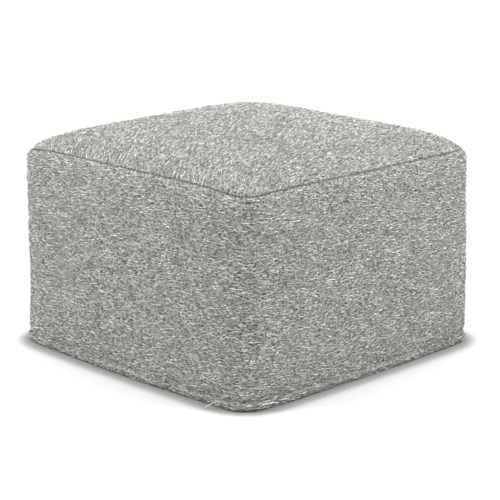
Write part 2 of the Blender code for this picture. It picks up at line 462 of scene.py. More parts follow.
class POUF_OT_form_cover(bpy.types.Operator):
    """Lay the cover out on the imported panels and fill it"""

    bl_idname = "pouf.form_cover"
    bl_label = "Form and fill the cover"

    def execute(self, context):
        sizes = context.scene.pouf_cover
        cover = lay_cover()
        mesh = bpy.data.meshes.new(COVER)
        mesh.from_pydata(cover.points, [], cover.faces)
        mesh.update()
        mesh.shade_smooth()
        store(mesh, "panel", "FACE", cover.panel, "INT")
        store(mesh, "seam_reach", "POINT", cover.seam_reach)
        store(mesh, "join_reach", "POINT", cover.join_reach)
        formed = places(mesh)
        free = np.ones(len(formed))
        free[cover.held] = 0.0
        free *= np.clip(values_of(mesh, "seam_reach") / SEAM_STEPS[-1], 0.0, 1.0)
        put(mesh, formed - normals(mesh) * (free * sizes.start_inset)[:, None])
        moves = fill_by_simulation(mesh, cover.held, sizes) - formed
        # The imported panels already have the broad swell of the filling, so the cloth keeps
        # the gathers and dents that the simulation adds to it.
        moves -= smoothed(mesh, moves, sizes.broad_rounds)
        put(mesh, formed + limited(moves * sizes.gather_share, sizes.most_move))
        return {"FINISHED"}


# --- The panels ------------------------------------------------------------------------------
HIDDEN = -1                            # the cover's face attribute "panel" on a seam's hidden face
HIDDEN_REACH = 0.202                   # the band and the base are only hidden and level this far out
# drop: below the top seam; along: from the near corner, towards the right side; reach and
# height: half sizes; depth: how far the cloth dips there
CORNER_CREASES = (
    {"drop": 0.0057, "along": 0.003, "reach": 0.025, "height": 0.0024, "depth": 0.0018},
    {"drop": 0.0150, "along": -0.012, "reach": 0.020, "height": 0.0028, "depth": 0.0007},
    {"drop": 0.0255, "along": 0.004, "reach": 0.020, "height": 0.0030, "depth": 0.0005},
)
CREASE_OPEN, CREASE_SHUT = 0.0003, 0.0011      # depths from which a crease has fewer loops, and none
CREASE_SHADE = 0.45                    # how much of the top seam's painted shade shows in a shut one
CREASE_FADE = 0.06                     # how far from the near corner they die away
NEAR_CORNER = (0.2405, -0.2405)        # where the near corner's round meets the band, in plan
PUCKER_PITCH = 0.011                   # between the small gathers that a seam makes in the cloth
PUCKER_SQUEEZE = (1.0, 1.0, 0.25)      # of their pattern, which makes them longer down the band
PUCKER_REACH = 0.008                   # how far from the seam they die away
SEAM_REACH = 0.0024                    # half width of the groove that the top seam's thread pulls in
SEAM_SHADE = 0.0006                    # half width of the dark line of painted shade in it, where no loops stand
JOIN_REACH = 0.004                     # half width of the groove of the band's closing join
SWELL_PITCH = 0.045                    # between the slow swells of a loosely filled cover
FIELD_SHIFT = (17.3, 5.7, 11.9)        # times its seed, what keeps each pattern apart from the others


def open_rings(bm):
    """The open edges of a cut panel: those round the floor, at the base seam and at the top seam."""
    rings = {"floor": [], "base seam": [], "top seam": []}
    for edge in bm.edges:
        if edge.is_boundary:
            height = edge.verts[0].co.z
            seam = "base seam" if height < MID_HEIGHT else "top seam"
            rings["floor" if height < NEAR_FLOOR else seam].append(edge)
    return rings


def turn_in(bm, ring, level, lift):
    """Turn a panel's cloth in at a seam, as a hidden face that ends level."""
    panel = bm.faces.layers.int["panel"]
    crease = bm.edges.layers.float["crease_edge"]
    for vertex in {vertex for edge in ring for vertex in edge.verts}:
        vertex.co.z += lift
    for edge in ring:
        edge[crease] = 1.0
    for part in bmesh.ops.extrude_edge_only(bm, edges=ring)["geom"]:
        if isinstance(part, bmesh.types.BMVert):
            part.co = (part.co.x * CAP_INSET, part.co.y * CAP_INSET, level)
        elif isinstance(part, bmesh.types.BMFace):
            part[panel] = HIDDEN
            part.smooth = True


def close_rings(mesh):
    """Close a subdivided panel's open rings, each by one level face."""
    bm = opened(mesh)
    panel = bm.faces.layers.int["panel"]
    for ring in open_rings(bm).values():
        if ring:
            for face in bmesh.ops.contextual_create(bm, geom=ring)["faces"]:
                face[panel] = HIDDEN
    bmesh.ops.recalc_face_normals(bm, faces=bm.faces)
    written(bm, mesh)


def cut_panel(panel, caps):
    """One panel of the filled cover, subdivided once and closed at its seams."""
    bm = opened(bpy.data.meshes[COVER])
    bm.edges.layers.float.new("crease_edge")
    layer = bm.faces.layers.int["panel"]
    # The large level faces come back after the subdivision, which is very slow on them.
    others = [face for face in bm.faces if face[layer] != panel or len(face.verts) > 4]
    bmesh.ops.delete(bm, geom=others, context="FACES")
    rings = open_rings(bm)
    for seam, (level, lift) in caps.items():
        turn_in(bm, rings[seam], level, lift)
    mesh = written(bm, bpy.data.meshes.new(PIECE_OF[panel]))
    coarse = new_object(PIECE_OF[panel] + "_cut", mesh)
    smooth = coarse.modifiers.new("Smooth", "SUBSURF")
    smooth.levels = 1
    smooth.render_levels = 1
    fine = evaluated_mesh(coarse)
    fine.name = PIECE_OF[panel]
    bpy.data.objects.remove(coarse)
    bpy.data.meshes.remove(mesh)
    close_rings(fine)
    return fine


def bell(distance):
    """A smooth hill: 1 in the middle, 0.37 at a distance of 1, and nothing far out."""
    return np.exp(-distance * distance)


def field(points, pitch, seed):
    """Smooth noise from -1 to 1 at each point, with hills about a pitch apart."""
    offset = Vector([seed * shift for shift in FIELD_SHIFT])
    return np.array([noise.noise(Vector(point) / pitch + offset) for point in points])


def surface_moves(mesh, sizes):
    """How far each fine point of a panel moves out: slow swells, and gathers beside its seams."""
    points = places(mesh)
    reach = values_of(mesh, "seam_reach")
    out = sizes.swell * field(points, SWELL_PITCH, 1)
    out += sizes.swell / 2 * field(points, SWELL_PITCH / 3, 2)
    gathers = field(points * PUCKER_SQUEEZE, PUCKER_PITCH, 3)
    return out + sizes.pucker * gathers * np.exp(-reach / PUCKER_REACH)


def level_out(mesh):
    """Level unit directions out of a panel, one for each point."""
    out = normals(mesh) * (1.0, 1.0, 0.0)
    return out / np.maximum(np.linalg.norm(out, axis=1), 1e-6)[:, None]


class PanelPiece:
    """What the three panels' operators share."""

    panel = None
    caps = {}                          # seam: the hidden face's level, and the rim's lift for the gap

    def piece(self, context, shape=None):
        """Make the panel's piece. A shape moves its points out, besides what all panels have."""
        sizes = context.scene.pouf_cover
        mesh = cut_panel(self.panel, self.caps)
        points = places(mesh)
        reach = values_of(mesh, "seam_reach")
        out = surface_moves(mesh, sizes)
        if shape is not None:
            out += shape(mesh, points, sizes)
        # The ground cloth lies inside the form by the height of the pile. A seam only goes in level,
        # so that its two rims stay one gap apart, and the top seam is pulled in further by its thread.
        free = np.clip(reach / SEAM_STEPS[2], 0.0, 1.0)
        upper = points[:, 2] > MID_HEIGHT
        moves = normals(mesh) * (free * (out - sizes.pile_height))[:, None]
        inward = (1 - free) * sizes.pile_height * upper
        inward += sizes.seam_depth * (bell(reach / SEAM_REACH) * upper)
        moves -= level_out(mesh) * inward[:, None]
        # Painted shade: the ground cloth takes the dark seam colour in the top seam's groove and in shut
        # creases, where shade falls.
        shade = bell(reach / SEAM_SHADE) * upper
        if self.panel == BAND:
            shade = np.maximum(shade, CREASE_SHADE * shut_creases(mesh, points))
        store(mesh, "seam_shade", "POINT", shade)
        if self.panel == BASE:
            moves[:, 2] = 0.0
        if self.panel != TOP:
            moves[np.abs(points[:, :2]).max(1) < HIDDEN_REACH] = 0.0
        put(mesh, points + moves)
        mesh.materials.clear()
        mesh.materials.append(boucle_ground(context.scene.pouf_yarn))
        cloth = add_piece(PIECE_OF[self.panel], mesh)
        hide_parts(NODE_OF[self.panel])


class POUF_OT_top_cloth(PanelPiece, bpy.types.Operator):
    """Cut the crowned top panel out of the filled cover"""

    bl_idname = "pouf.top_cloth"
    bl_label = "Top panel"
    panel = TOP
    caps = {"top seam": (TOP_CAP, SEAM_GAP / 2)}

    def execute(self, context):
        self.piece(context)
        return {"FINISHED"}


def crease_depths(mesh, points):
    """How far each point of the band lies in the creases under the near corner of the top seam."""
    reach = values_of(mesh, "seam_reach")
    from_corner = points[:, :2] - NEAR_CORNER
    along = (from_corner[:, 0] + from_corner[:, 1]) / math.sqrt(2)
    near = bell(np.hypot(from_corner[:, 0], from_corner[:, 1]) / CREASE_FADE)
    near *= points[:, 2] > MID_HEIGHT
    depths = np.zeros(len(points))
    for crease in CORNER_CREASES:
        across = (along - crease["along"]) / crease["reach"]
        up = (reach - crease["drop"]) / crease["height"]
        depths += crease["depth"] * bell(across) * bell(up) * near
    return depths


def shut_creases(mesh, points):
    """Where a crease is so deep that it closes over its loops and shows as a dark line of painted shade: 0
    to 1.
    """
    return np.clip((crease_depths(mesh, points) - CREASE_OPEN) / (CREASE_SHUT - CREASE_OPEN), 0.0, 1.0)


def band_shape(mesh, points, sizes):
    """Creases under the near corner of the top seam, and the groove of the band's closing join."""
    reach = values_of(mesh, "seam_reach")
    join = bell(values_of(mesh, "join_reach") / JOIN_REACH) * np.clip(reach / SEAM_STEPS[3], 0.0, 1.0)
    return -sizes.crease * crease_depths(mesh, points) - sizes.join_depth * join


class POUF_OT_band_cloth(PanelPiece, bpy.types.Operator):
    """Cut the band out of the filled cover"""

    bl_idname = "pouf.band_cloth"
    bl_label = "Side band"
    panel = BAND
    caps = {"base seam": (BAND_BASE_CAP, SEAM_GAP / 2), "top seam": (BAND_TOP_CAP, -SEAM_GAP / 2)}

    def execute(self, context):
        self.piece(context, band_shape)
        return {"FINISHED"}


class POUF_OT_base_cloth(PanelPiece, bpy.types.Operator):
    """Cut the base panel with its rounded lip out of the filled cover"""

    bl_idname = "pouf.base_cloth"
    bl_label = "Base panel"
    panel = BASE
    caps = {"base seam": (BASE_CAP, -SEAM_GAP / 2)}

    def execute(self, context):
        self.piece(context)
        return {"FINISHED"}


# --- Nodes -----------------------------------------------------------------------------------
def feed(tree, node, inputs):
    """Give a node's inputs a number, a colour, an output, or another node's first output."""
    for name, value in inputs.items():
        if isinstance(value, bpy.types.Node):
            value = value.outputs[0]
        if isinstance(value, bpy.types.NodeSocket):
            tree.links.new(value, node.inputs[name])
        else:
            node.inputs[name].default_value = value


def add_node(tree, kind, settings=None, inputs=None):
    """A node with its settings and its inputs."""
    node = tree.nodes.new(kind)
    for name, value in (settings or {}).items():
        setattr(node, name, value)
    feed(tree, node, inputs or {})
    return node


def linear(code):
    """An sRGB hex colour as linear red, green, blue and alpha."""
    parts = [int(code[at:at + 2], 16) / 255 for at in (1, 3, 5)]
    return tuple(p / 12.92 if p <= 0.04045 else ((p + 0.055) / 1.055) ** 2.4 for p in parts) + (1.0,)


def new_material(name):
    """A new material, with its tree and its Principled BSDF."""
    material = bpy.data.materials.new(name)
    material.use_nodes = True
    tree = material.node_tree
    return material, tree, tree.nodes["Principled BSDF"]


def set_stops(tone, positions, colours):
    """Set a colour ramp's stops, its two ends first."""
    stops = list(zip(positions, colours))
    for element, (position, colour) in zip(tone.color_ramp.elements, stops):
        element.position = position
        element.color = linear(colour)
    for position, colour in stops[2:]:
        tone.color_ramp.elements.new(position).color = linear(colour)


def new_tree(name, inputs):
    """A new Geometry Nodes tree with named inputs, and what comes in by them."""
    tree = bpy.data.node_groups.new(name, "GeometryNodeTree")
    for socket, kind in (("Geometry", "Geometry"), *inputs):
        tree.interface.new_socket(socket, in_out="INPUT", socket_type="NodeSocket" + kind)
    tree.interface.new_socket("Geometry", in_out="OUTPUT", socket_type="NodeSocketGeometry")
    return tree, add_node(tree, "NodeGroupInput").outputs


def grown(thing, tree, asked):
    """A plain mesh of what a Geometry Nodes tree makes on an object, which is then removed."""
    nodes = thing.modifiers.new(tree.name, "NODES")
    nodes.node_group = tree
    for item in tree.interface.items_tree:
        if item.in_out == "INPUT" and item.name in asked:
            nodes[item.identifier] = asked[item.name]
    mesh = evaluated_mesh(thing)
    bpy.data.objects.remove(thing)
    return mesh


class PoufYarn(bpy.types.PropertyGroup):
    """The boucle yarn: its loops' sizes and its colours."""

    spacing: FloatProperty(
        name="Loop spacing", description="Least distance between two loops", default=0.00258,
        unit="LENGTH")
    length: FloatProperty(
        name="Loop length", description="Length of a loop along the cloth", default=0.0075,
        unit="LENGTH")
    height: FloatProperty(
        name="Loop height", description="Rise of an upright loop", default=0.0022, unit="LENGTH")
    thickness: FloatProperty(
        name="Yarn thickness", description="Thickness of the yarn", default=0.00100, unit="LENGTH")
    curl: FloatProperty(
        name="Curl", description="How far the yarn strays from an even arch", default=0.0010,
        unit="LENGTH")
    spread: FloatProperty(
        name="Spread", description="How far loops turn from the way of the pile", subtype="ANGLE",
        default=math.radians(7))
    lean: FloatProperty(
        name="Lean", description="How far loops lean over to either side", subtype="ANGLE",
        default=math.radians(62))
    light: StringProperty(
        name="Light yarn", description="Colour of the palest yarn", default="#f2f0eb")
    middle: StringProperty(
        name="Yarn", description="Colour of most of the yarn", default="#aaa9a4")
    dark: StringProperty(
        name="Dark yarn", description="Colour of the darkest yarn", default="#6b6a66")
    # Painted shade: the ground cloth's dark colour stands for the shade in the deep gaps between the
    # loops.
    ground: StringProperty(
        name="Ground cloth", description="Colour of the cloth under the loops", default="#43423f")
    # Painted shade: the dark colour laid in the top seam's groove and in shut creases, for the shade that
    # falls there.
    seam: StringProperty(
        name="Seam", description="Colour in the bottom of the top seam", default="#302f2c")
    thread: StringProperty(
        name="Thread", description="Colour of the sewing thread", default="#8f8d88")


CRUMB_PITCH = 0.0028                   # between the ground cloth's crumbs
TWIST_PITCH = 0.0009                   # of the yarn, drawn coarser than its real 0.4 mm, to show
FLECK_PITCH = 0.0013                   # between pale fibres in the yarn, drawn as coarse as they show
FLECK_SHARE = 1.4                      # how far these fibres shift the yarn's tone
CRUMB_STOPS = (0.38, 0.64)             # of the crumbs' pattern: bare ground, in its painted shade, and full crumb
YARN_STOPS = (0.0, 1.0, 0.53)          # of the yarn's tone: dark, light and middle yarn


def boucle_ground(yarn):
    """Woven ground of boucle cloth, half hidden by its loops: matt and crumbly, and darker than they are
    as painted shade of the deep gaps between them.
    """
    name = "boucle_ground_cloth"
    if name in bpy.data.materials:
        return bpy.data.materials[name]
    material, tree, shader = new_material(name)
    at = add_node(tree, "ShaderNodeTexCoord").outputs["Object"]
    crumbs = add_node(tree, "ShaderNodeTexNoise", inputs={
        "Vector": at, "Scale": 1 / CRUMB_PITCH, "Detail": 2.0, "Roughness": 0.6})
    tone = add_node(tree, "ShaderNodeValToRGB", inputs={"Fac": crumbs})
    set_stops(tone, CRUMB_STOPS, (yarn.ground, yarn.middle))
    bump = add_node(tree, "ShaderNodeBump", inputs={
        "Height": crumbs, "Strength": 0.8, "Distance": 0.0016})
    # Painted shade: the top seam and a shut crease take the dark seam colour for the little light that
    # comes out of them, so their thin dark lines stay clear.
    seam = add_node(tree, "ShaderNodeAttribute", {"attribute_name": "seam_shade"})
    shaded = add_node(tree, "ShaderNodeMix", {"data_type": "RGBA"}, {
        0: seam.outputs["Fac"], 6: tone, 7: linear(yarn.seam)})
    feed(tree, shader, {
        "Base Color": shaded.outputs[2], "Normal": bump, "Roughness": 0.95, "Specular IOR Level": 0.2})
    return material


def boucle_yarn(yarn):
    """Looped boucle yarn of mixed pale and grey fibres: matt, with a faint soft sheen."""
    name = "boucle_loop_yarn"
    if name in bpy.data.materials:
        return bpy.data.materials[name]
    material, tree, shader = new_material(name)
    at = add_node(tree, "ShaderNodeTexCoord").outputs["Object"]
    mixed = add_node(tree, "ShaderNodeAttribute", {"attribute_name": "yarn_tone"})
    flecks = add_node(tree, "ShaderNodeTexNoise", inputs={
        "Vector": at, "Scale": 1 / FLECK_PITCH, "Detail": 1.0})
    flecked = add_node(tree, "ShaderNodeMath", {"operation": "MULTIPLY_ADD"}, {
        0: flecks, 1: FLECK_SHARE, 2: mixed.outputs["Fac"]})
    even = add_node(tree, "ShaderNodeMath", {"operation": "SUBTRACT"}, {0: flecked, 1: FLECK_SHARE / 2})
    tone = add_node(tree, "ShaderNodeValToRGB", inputs={"Fac": even})
    set_stops(tone, YARN_STOPS, (yarn.dark, yarn.light, yarn.middle))
    twist = add_node(tree, "ShaderNodeTexNoise", inputs={
        "Vector": at, "Scale": 1 / TWIST_PITCH, "Detail": 1.0})
    bump = add_node(tree, "ShaderNodeBump", inputs={
        "Height": twist, "Strength": 0.4, "Distance": 0.0004})
    feed(tree, shader, {
        "Base Color": tone, "Normal": bump, "Roughness": 0.9, "Specular IOR Level": 0.25,
        "Sheen Weight": 0.1, "Sheen Roughness": 0.5})
    return material


# --- Loops -----------------------------------------------------------------------------------
LOOP_SIZES = ("Spacing", "Length", "Height", "Thickness", "Curl", "Spread", "Lean")   # in PoufYarn
LOOP_POINTS = 4                        # along one loop, its two ends among them
YARN_SIDES = 3                         # of the yarn's section, which is too thin to show more
LOOP_WELD = 0.00008                    # closes a loop's tapered ends
LOOP_DENSITY = 400000                  # places tried on a square metre, before the spacing thins them
SINK = 0.0007                          # how deep a loop's ends are in the cloth
PALE_PATCH = 0.035                     # between patches in which the paler yarn comes up more
CURL_PITCH = 0.0045                    # between the curls of the yarn
PILE_STRAY = 0.0011                    # how unevenly the pile ends beside the top seam
PILE_START = 0.0004                    # from the top seam, where the first loops stand
PILE_FULL = 0.0026                     # from the top seam, where they are all there
TOP_NAP, TOP_NAP_TURN = 107.0, 8.0     # in degrees from +X, in the middle and less at the photo's right
TOP_NAP_REACH = 0.30                   # from the middle to where it has turned so far
LOOPS_ABOVE_FLOOR = 0.0015             # lowest face of the base with loops on it
LOOP_FLOOR_GAP, YARN_FLOOR_GAP = 0.0003, 0.0001     # lowest points of the loops, and of the loose yarn
# Numbers drawn for each loop: name, lowest, highest, seed
LOOP_DRAWS = (
    ("one turn", -1.0, 1.0, 1),
    ("other turn", -1.0, 1.0, 2),
    ("lean share", -1.0, 1.0, 3),
    ("own size", 0.75, 1.25, 4),
    ("own tone", 0.0, 0.75, 5),
    ("own paleness", 0.0, 0.6, 6),
)
# Numbers worked out from those: name, operation, and the two numbers that it takes
LOOP_SUMS = (
    ("half turn", "MULTIPLY", "along", math.pi),
    ("rise", "SINE", "half turn", 0.0),
    ("taper", "SQRT", "rise", 0.0),
    ("half length", "MULTIPLY", "Length", 0.5),
    ("half thickness", "MULTIPLY", "Thickness", 0.5),
    ("yarn radius", "MULTIPLY", "taper", "half thickness"),
    ("turn share", "ADD", "one turn", "other turn"),
    ("turned by", "MULTIPLY", "turn share", "Spread"),
    ("leaning by", "MULTIPLY", "lean share", "Lean"),
    ("half pile", "MULTIPLY", "pile", 0.5),
    ("pile size", "ADD", "half pile", 0.5),
    ("loop size", "MULTIPLY", "own size", "pile size"),
    ("patch paleness", "MULTIPLY", "own paleness", "patches"),
    ("tone", "ADD", "own tone", "patch paleness"),
    ("full curl", "MULTIPLY", "Curl", 4.0),
)


def loop_tree():
    """Geometry nodes that cover a piece of cloth with curled loops of yarn."""
    inputs = [(name, "Float") for name in LOOP_SIZES]
    tree, given = new_tree("boucle_loops", (*inputs, ("Seed", "Int"), ("Yarn", "Material")))
    along = add_node(tree, "GeometryNodeSplineParameter").outputs["Factor"]
    pile = add_node(tree, "GeometryNodeInputNamedAttribute", {"data_type": "FLOAT"}, {"Name": "pile"})
    nap = add_node(tree, "GeometryNodeInputNamedAttribute", {"data_type": "FLOAT_VECTOR"}, {"Name": "nap"})
    patches = add_node(tree, "ShaderNodeTexNoise", inputs={
        "Vector": add_node(tree, "GeometryNodeInputPosition"), "Scale": 1 / PALE_PATCH, "Detail": 1.0})

    # The numbers that differ from loop to loop or along a loop: what is drawn for each loop, then
    # what follows from it. A name in the last two columns stands for an input or an earlier number.
    known = {"along": along, "pile": pile, "patches": patches, **dict(given.items())}
    for name, low, high, seed in LOOP_DRAWS:
        known[name] = add_node(tree, "FunctionNodeRandomValue", {"data_type": "FLOAT"}, {
            2: low, 3: high, "Seed": seed}).outputs[1]
    for name, operation, one, other in LOOP_SUMS:
        known[name] = add_node(tree, "ShaderNodeMath", {"operation": operation}, {
            0: known[one], 1: known.get(other, other)})

    # One loop: an arch of yarn whose tapered ends go down into the cloth.
    arch = add_node(tree, "GeometryNodeCurveArc", {"mode": "RADIUS"}, {
        "Resolution": LOOP_POINTS, "Radius": 1.0, "Start Angle": 0.0, "Sweep Angle": math.pi})
    size = add_node(tree, "ShaderNodeCombineXYZ", inputs={
        "X": known["half length"], "Y": given["Height"], "Z": 1.0})
    sized = add_node(tree, "GeometryNodeTransform", inputs={"Geometry": arch, "Scale": size})
    upright = add_node(tree, "GeometryNodeTransform", inputs={
        "Geometry": sized, "Rotation": (math.pi / 2, 0.0, 0.0), "Translation": (0.0, 0.0, -SINK)})
    section = add_node(tree, "GeometryNodeCurvePrimitiveCircle", {"mode": "RADIUS"}, {
        "Resolution": YARN_SIDES, "Radius": 1.0})
    tube = add_node(tree, "GeometryNodeCurveToMesh", inputs={
        "Curve": upright, "Profile Curve": section, "Scale": known["yarn radius"]})
    loop = add_node(tree, "GeometryNodeMergeByDistance", inputs={"Geometry": tube, "Distance": LOOP_WELD})

    # Its places on the cloth, thinner and smaller where a seam presses the pile down.
    spots = add_node(tree, "GeometryNodeDistributePointsOnFaces", {"distribute_method": "POISSON"}, {
        "Mesh": given["Geometry"], "Distance Min": given["Spacing"], "Density Max": LOOP_DENSITY,
        "Density Factor": pile, "Seed": given["Seed"]})
    standing = add_node(tree, "FunctionNodeAlignRotationToVector", {"axis": "Z"}, {
        "Vector": spots.outputs["Normal"]})
    combed = add_node(tree, "FunctionNodeAlignRotationToVector", {"axis": "X", "pivot_axis": "Z"}, {
        "Rotation": standing, "Vector": nap})
    turned = add_node(tree, "FunctionNodeAxisAngleToRotation", inputs={
        "Axis": (0.0, 0.0, 1.0), "Angle": known["turned by"]})
    leaning = add_node(tree, "FunctionNodeAxisAngleToRotation", inputs={
        "Axis": (1.0, 0.0, 0.0), "Angle": known["leaning by"]})
    facing = add_node(tree, "FunctionNodeRotateRotation", {"rotation_space": "LOCAL"}, {
        "Rotation": combed, "Rotate By": turned})
    laid = add_node(tree, "FunctionNodeRotateRotation", {"rotation_space": "LOCAL"}, {
        "Rotation": facing, "Rotate By": leaning})
    loops = add_node(tree, "GeometryNodeInstanceOnPoints", inputs={
        "Points": spots, "Instance": loop, "Rotation": laid, "Scale": known["loop size"]})
    toned = add_node(tree, "GeometryNodeStoreNamedAttribute", {
        "data_type": "FLOAT", "domain": "INSTANCE",
    }, {"Geometry": loops, "Name": "yarn_tone", "Value": known["tone"]})
    real = add_node(tree, "GeometryNodeRealizeInstances", inputs={"Geometry": toned})
    stray = add_node(tree, "ShaderNodeTexNoise", inputs={"Scale": 1 / CURL_PITCH, "Detail": 0.0})
    centred = add_node(tree, "ShaderNodeVectorMath", {"operation": "SUBTRACT"}, {
        0: stray.outputs["Color"], 1: (0.5, 0.5, 0.5)})
    push = add_node(tree, "ShaderNodeVectorMath", {"operation": "SCALE"}, {
        0: centred, "Scale": known["full curl"]})
    curled = add_node(tree, "GeometryNodeSetPosition", inputs={"Geometry": real, "Offset": push})
    soft = add_node(tree, "GeometryNodeSetShadeSmooth", inputs={"Geometry": curled})
    dyed = add_node(tree, "GeometryNodeSetMaterial", inputs={"Geometry": soft, "Material": given["Yarn"]})
    add_node(tree, "NodeGroupOutput", inputs={"Geometry": dyed})
    return tree


def nap_of(points, out, panel):
    """The way in which most loops lie: along the band, and slowly turning across the top."""
    if panel == TOP:
        across = points[:, 0] * math.cos(VIEW_AZIMUTH) + points[:, 1] * math.sin(VIEW_AZIMUTH)
        angle = np.radians(TOP_NAP - TOP_NAP_TURN * (across / TOP_NAP_REACH))
        return np.stack([np.cos(angle), np.sin(angle), np.zeros(len(points))], 1)
    return np.stack([-out[:, 1], out[:, 0], np.zeros(len(points))], 1)


def cloth_under_loops(panel, belongs):
    """The shown faces of a panel that belong to one piece's loops, with the loops' pile and nap."""
    bm = opened(bpy.data.objects[PIECE_OF[panel]].data)
    layer = bm.faces.layers.int["panel"]
    others = [face for face in bm.faces if face[layer] != panel or not belongs(face.calc_center_median())]
    bmesh.ops.delete(bm, geom=others, context="FACES")
    mesh = written(bm, bpy.data.meshes.new("cloth_under_loops"))
    points = places(mesh)
    store(mesh, "nap", "POINT", nap_of(points, normals(mesh), panel), "FLOAT_VECTOR")
    reach = np.minimum(values_of(mesh, "seam_reach"), values_of(mesh, "join_reach") + PILE_START)
    reach += PILE_STRAY * field(points, PUCKER_PITCH / 2, 5)
    # The base seam is hidden in the pile.
    reach[points[:, 2] < MID_HEIGHT] = PILE_FULL
    pile = np.clip((reach - PILE_START) / (PILE_FULL - PILE_START), 0.0, 1.0)
    if panel == BAND:
        pile *= 1.0 - shut_creases(mesh, points)
    store(mesh, "pile", "POINT", pile)
    return mesh


def keep_off_floor(mesh, gap):
    """Lift what hangs lower than a gap above the floor."""
    points = places(mesh)
    points[:, 2] = np.maximum(points[:, 2], gap)
    put(mesh, points)


# The side of the band that a face is on, told from its centre
SIDE_OF = {
    "front": lambda c: -c.y >= abs(c.x),
    "right": lambda c: c.x > abs(c.y),
    "back": lambda c: c.y >= abs(c.x),
    "left": lambda c: -c.x > abs(c.y),
}
LOOP_PIECES = [("loops_" + side, BAND, belongs) for side, belongs in SIDE_OF.items()]
LOOP_PIECES += [
    ("loops_top_left", TOP, lambda c: c.x < 0.0),
    ("loops_top_right", TOP, lambda c: c.x >= 0.0),
    ("loops_base", BASE, lambda c: c.z > LOOPS_ABOVE_FLOOR),
]


class POUF_OT_loops(bpy.types.Operator):
    """Raise the boucle yarn's curled loops all over the cover"""

    bl_idname = "pouf.loops"
    bl_label = "Boucle loops"

    def execute(self, context):
        yarn = context.scene.pouf_yarn
        tree = loop_tree()
        asked = {name: getattr(yarn, name.lower()) for name in LOOP_SIZES}
        asked["Yarn"] = boucle_yarn(yarn)
        for seed, (name, panel, belongs) in enumerate(LOOP_PIECES):
            asked["Seed"] = seed
            ground = new_object(name + "_ground", cloth_under_loops(panel, belongs))
            mesh = grown(ground, tree, asked)
            keep_off_floor(mesh, LOOP_FLOOR_GAP)
            add_piece(name, mesh)
        return {"FINISHED"}


# --- Sewing and loose yarn -------------------------------------------------------------------
STITCH_SIZE = (0.00035, 0.00035, 0.0015)   # half sizes of one stitch, its length last
BASE_STITCH_INSET = 0.0008             # how far inside the cloth the base seam's stitches lie
LOOSE_TONE = 0.78                      # how pale the loose yarn is
# The frayed ends beside the near corner in the photo: yarn thickness, then points along the yarn
LOOSE_YARN = (
    (0.0010, ((0.1985, -0.2470, 0.0118), (0.1935, -0.2505, 0.0095), (0.1880, -0.2525, 0.0062),
              (0.1845, -0.2540, 0.0028), (0.1807, -0.2549, 0.0009))),
    (0.0007, ((0.1960, -0.2500, 0.0080), (0.2000, -0.2506, 0.0085), (0.2037, -0.2500, 0.0099))),
    (0.0009, ((0.2030, -0.2335, 0.0009), (0.2105, -0.2300, 0.0012), (0.2171, -0.2248, 0.0009),
              (0.2278, -0.2166, 0.0011), (0.2345, -0.2110, 0.0009), (0.2391, -0.2051, 0.0012))),
    (0.0012, ((0.2490, -0.2140, 0.0115), (0.2502, -0.2080, 0.0128), (0.2505, -0.2020, 0.0102),
              (0.2500, -0.1970, 0.0112), (0.2504, -0.1905, 0.0090), (0.2495, -0.1848, 0.0074))),
    (0.0011, ((0.2495, -0.1810, 0.0100), (0.2506, -0.1765, 0.0112), (0.2500, -0.1700, 0.0088),
              (0.2494, -0.1637, 0.0078))),
)


def seam_line(seam, inset):
    """The line of a seam of the filled cover, a little inside it, as an object with edges only."""
    bm = opened(bpy.data.meshes[COVER])
    bm.normal_update()
    seam_reach = bm.verts.layers.float["seam_reach"]
    join_reach = bm.verts.layers.float["join_reach"]
    on_line = {
        "top": lambda v: v[seam_reach] == 0 and v.co.z > MID_HEIGHT,
        "base": lambda v: v[seam_reach] == 0 and v.co.z < MID_HEIGHT,
        "join": lambda v: v[join_reach] == 0,
    }[seam]
    moved = {v: v.co - Vector((v.normal.x, v.normal.y, 0.0)).normalized() * inset
             for v in bm.verts if on_line(v)}
    bmesh.ops.delete(bm, geom=list(bm.faces), context="FACES_ONLY")
    for vertex, place in moved.items():
        vertex.co = place
    bmesh.ops.delete(bm, geom=[v for v in bm.verts if v not in moved], context="VERTS")
    return new_object("seam_line", written(bm, bpy.data.meshes.new("seam_line")))


def sewing_thread(yarn):
    """Spun polyester thread in the cloth's grey: a little smoother than the yarn."""
    material, tree, shader = new_material("sewing_thread")
    feed(tree, shader, {"Base Color": linear(yarn.thread), "Roughness": 0.6})
    return material


def stitch_tree(yarn):
    """Geometry nodes that set short stitches of thread at even steps along a line."""
    tree, given = new_tree("stitches", (("Step", "Float"),))
    line = add_node(tree, "GeometryNodeMeshToCurve", inputs={"Mesh": given["Geometry"]})
    spots = add_node(tree, "GeometryNodeCurveToPoints", {"mode": "LENGTH"}, {
        "Curve": line, "Length": given["Step"]})
    ball = add_node(tree, "GeometryNodeMeshIcoSphere", inputs={"Radius": 1.0, "Subdivisions": 1})
    stitch = add_node(tree, "GeometryNodeTransform", inputs={"Geometry": ball, "Scale": STITCH_SIZE})
    stitches = add_node(tree, "GeometryNodeInstanceOnPoints", inputs={
        "Points": spots, "Instance": stitch, "Rotation": spots.outputs["Rotation"]})
    real = add_node(tree, "GeometryNodeRealizeInstances", inputs={"Geometry": stitches})
    dyed = add_node(tree, "GeometryNodeSetMaterial", inputs={
        "Geometry": real, "Material": sewing_thread(yarn)})
    add_node(tree, "NodeGroupOutput", inputs={"Geometry": dyed})
    return tree


class POUF_OT_stitches(bpy.types.Operator):
    """Sew the top seam, the base seam and the band's closing join"""

    bl_idname = "pouf.stitches"
    bl_label = "Stitches"

    def execute(self, context):
        sizes, yarn = context.scene.pouf_cover, context.scene.pouf_yarn
        insets = {"top": sizes.pile_height + sizes.seam_depth, "base": BASE_STITCH_INSET,
                  "join": sizes.pile_height + sizes.join_depth}
        tree = stitch_tree(yarn)
        for seam, inset in insets.items():
            mesh = grown(seam_line(seam, inset), tree, {"Step": sizes.stitch_step})
            add_piece("stitches_" + seam, mesh)
        return {"FINISHED"}


